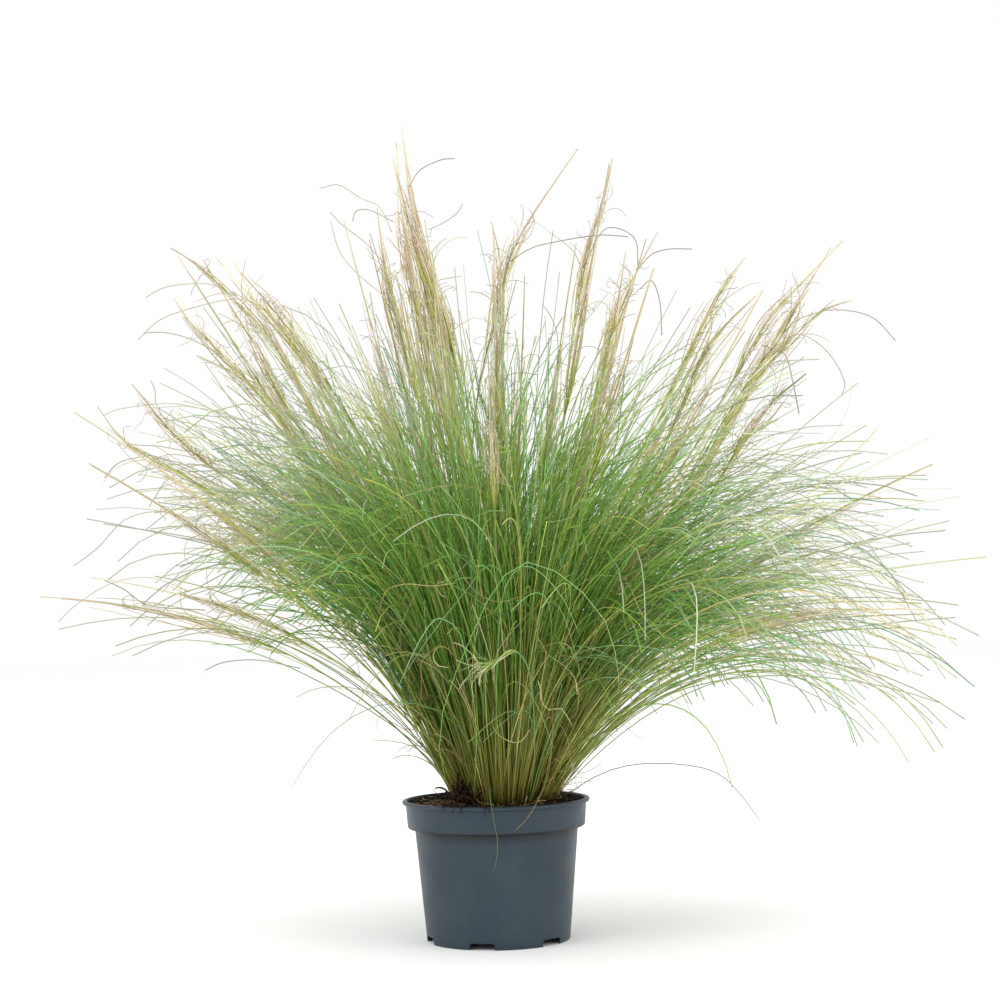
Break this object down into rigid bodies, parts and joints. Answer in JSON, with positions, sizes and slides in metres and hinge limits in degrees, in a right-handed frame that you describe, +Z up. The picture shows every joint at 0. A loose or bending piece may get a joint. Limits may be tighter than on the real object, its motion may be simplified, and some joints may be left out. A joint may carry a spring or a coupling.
{
  "type": "potted mexican feather grass",
  "caption": "Fine-leaved feather grass in flower: a fountain of arching blades and awned plumes in a round plastic nursery pot with feet.",
  "frame": {"origin": "centre of the pot's foot circle, on the surface that the pot stands on", "axes": "+Z up along the pot's axis; the plant's front, as pictured, faces -Y, with +X to the right of that view"},
  "size_m": [0.8217, 0.7871, 0.742],
  "materials": {
    "pot": "satin",
    "soil": "matte",
    "leaf": "satin",
    "plume": "matte"
  },
  "bodies": {
    "root": {"pot": "pot", "soil": "soil", "tuft_middle": "leaf", "tuft_01": "leaf", "tuft_02": "leaf", "tuft_03": "leaf", "tuft_04": "leaf", "tuft_05": "leaf", "tuft_06": "leaf", "tuft_07": "leaf", "tuft_08": "leaf", "tuft_09": "leaf", "tuft_10": "leaf", "tuft_11": "leaf", "tuft_12": "leaf", "stem_01": "plume", "stem_02": "plume", "stem_03": "plume", "stem_04": "plume", "stem_05": "plume", "stem_06": "plume", "stem_07": "plume", "stem_08": "plume", "stem_09": "plume", "stem_10": "plume", "stem_11": "plume", "stem_12": "plume", "stem_13": "plume", "stem_14": "plume", "stem_15": "plume", "stem_16": "plume", "stem_17": "plume", "stem_18": "plume", "stem_19": "plume", "stem_20": "plume", "stem_21": "plume", "stem_22": "plume", "stem_23": "plume", "stem_24": "plume", "stem_25": "plume", "stem_26": "plume", "stem_27": "plume", "stem_28": "plume", "stem_29": "plume", "stem_30": "plume", "stem_31": "plume", "stem_32": "plume"}
  },
  "joints": []
}
